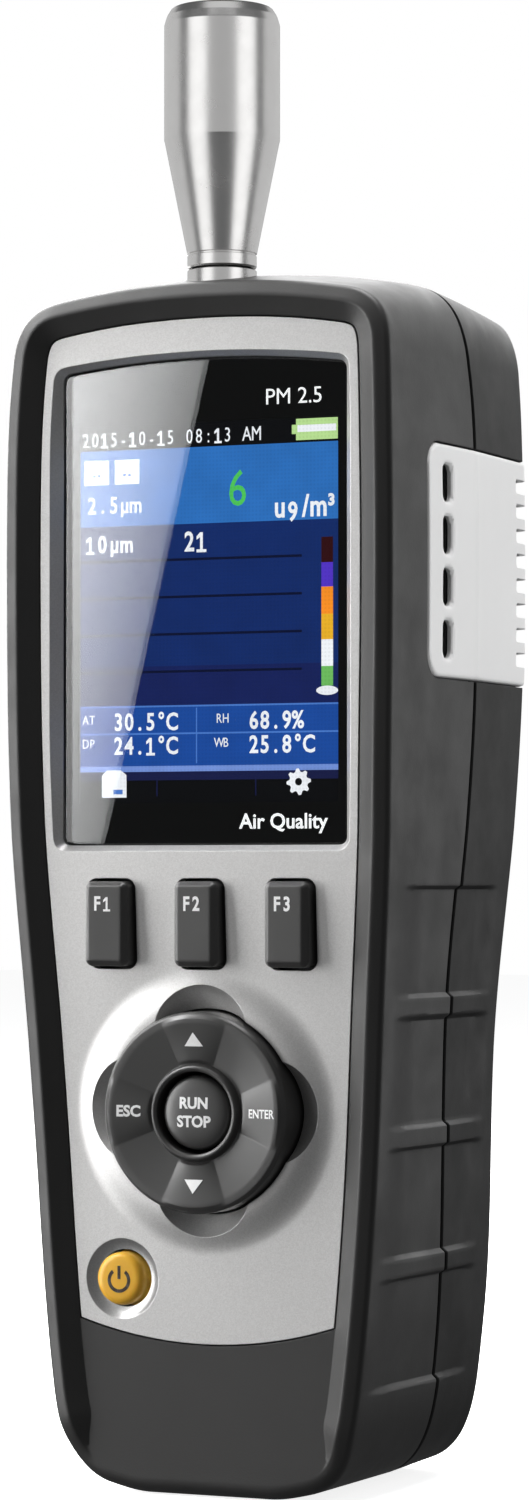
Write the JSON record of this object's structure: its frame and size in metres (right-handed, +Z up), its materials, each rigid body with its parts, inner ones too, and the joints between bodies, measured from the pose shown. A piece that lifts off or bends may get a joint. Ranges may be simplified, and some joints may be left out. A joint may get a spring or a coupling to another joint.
{
  "type": "air quality monitor",
  "caption": "Handheld air quality monitor with a colour display, soft keys, a round navigation key, a screw-on air inlet probe and a battery door behind.",
  "frame": {"origin": "on the flat underside that the monitor stands on, midway across its width", "axes": "+Z up along the body towards the inlet probe, -Y towards the user (display side), +X to the right seen from the front"},
  "size_m": [0.0768, 0.0658, 0.2604],
  "materials": {
    "housing": "fine-textured dark grey ABS with a soft-touch coating",
    "silver_paint": "satin silver-grey painted plastic panel",
    "vent_plastic": "light grey satin plastic",
    "display_glass": "clear glossy window with a black border",
    "display_image": "lit colour display",
    "key_rubber": "dark grey keys with white legends",
    "power_key": "amber key with a dark symbol",
    "probe_metal": "turned stainless steel",
    "steel": "plated steel",
    "brass": "turned brass",
    "board": "green solder mask",
    "black_plastic": "black moulded plastic",
    "rubber": "dark silicone rubber",
    "cell_wrap": "blue shrink wrap"
  },
  "bodies": {
    "case": {"front_shell": "housing", "back_shell": "housing", "front_panel": "silver_paint", "vent_band": "vent_plastic", "display_window": "display_glass", "lcd_frame": "steel", "lcd_module": "display_image", "keypad_membrane": "rubber", "keypad_board": "board", "main_board": "board", "buzzer": "black_plastic", "inlet_fitting": "probe_metal", "intake_tube": "rubber", "sensor_chamber": "black_plastic", "laser_module": "brass", "detector_board": "board", "transfer_tube": "rubber", "blower_housing": "black_plastic", "air_sensor": "board", "battery_pack": "cell_wrap", "battery_connector": "black_plastic", "tripod_insert": "brass", "usb_socket": "steel", "dc_jack": "black_plastic", "case_screw_1": "steel", "case_screw_2": "steel", "case_screw_3": "steel", "case_screw_4": "steel"},
    "key_f1": {"key_f1": "key_rubber"},
    "key_f2": {"key_f2": "key_rubber"},
    "key_f3": {"key_f3": "key_rubber"},
    "nav_carrier": {"nav_web": "rubber"},
    "nav_ring": {"nav_ring": "key_rubber"},
    "run_stop_button": {"run_stop_button": "key_rubber"},
    "power_button": {"power_button": "power_key"},
    "probe_seal": {"probe_oring": "rubber"},
    "inlet_probe": {"inlet_probe": "probe_metal"},
    "blower_rotor": {"blower_rotor": "vent_plastic"},
    "battery_door": {"battery_door": "housing"},
    "port_cover": {"port_cover": "rubber"}
  },
  "joints": [
    {"name": "key_f1_press", "type": "slide", "parent": "case", "child": "key_f1", "axis": [0, 1, 0], "range_m": [0, 0.0012], "stiffness_N_per_m": 600, "springref_m": -0.0004},
    {"name": "key_f2_press", "type": "slide", "parent": "case", "child": "key_f2", "axis": [0, 1, 0], "range_m": [0, 0.0012], "stiffness_N_per_m": 600, "springref_m": -0.0004},
    {"name": "key_f3_press", "type": "slide", "parent": "case", "child": "key_f3", "axis": [0, 1, 0], "range_m": [0, 0.0012], "stiffness_N_per_m": 600, "springref_m": -0.0004},
    {"name": "nav_tilt_up_down", "type": "hinge", "parent": "case", "child": "nav_carrier", "pos_m": [0, -0.017, 0.0667], "axis": [1, 0, 0], "range_deg": [-2, 2], "stiffness_Nm_per_rad": 0.9},
    {"name": "nav_tilt_left_right", "type": "hinge", "parent": "nav_carrier", "child": "nav_ring", "pos_m": [0, -0.017, 0.0667], "axis": [0, 0, 1], "range_deg": [-2, 2], "stiffness_Nm_per_rad": 0.9},
    {"name": "run_stop_press", "type": "slide", "parent": "case", "child": "run_stop_button", "axis": [0, 1, 0], "range_m": [0, 0.001], "stiffness_N_per_m": 600, "springref_m": -0.0004},
    {"name": "power_press", "type": "slide", "parent": "case", "child": "power_button", "axis": [0, 1, 0], "range_m": [0, 0.0008], "stiffness_N_per_m": 600, "springref_m": -0.0004},
    {"name": "probe_lift", "type": "slide", "parent": "case", "child": "probe_seal", "axis": [0, 0, 1], "range_m": [0, 0.003]},
    {"name": "probe_turn", "type": "hinge", "parent": "probe_seal", "child": "inlet_probe", "pos_m": [0, -0.016, 0.2143], "axis": [0, 0, 1], "range_deg": [0, 1080.5]},
    {"name": "blower_spin", "type": "hinge", "parent": "case", "child": "blower_rotor", "pos_m": [-0.001, 0.0018, 0.127], "axis": [0, 0, 1], "continuous": true},
    {"name": "battery_door_hinge", "type": "hinge", "parent": "case", "child": "battery_door", "pos_m": [0, 0.0343, 0.0175], "axis": [-1, 0, 0], "range_deg": [0, 100]},
    {"name": "port_cover_hinge", "type": "hinge", "parent": "case", "child": "port_cover", "pos_m": [-0.0371, -0.006, 0.1105], "axis": [0, -1, 0], "range_deg": [0, 110]}
  ],
  "couplings": [
    {"joint": "probe_turn", "follows": "probe_lift", "rad_per_m": 6283.2}
  ]
}
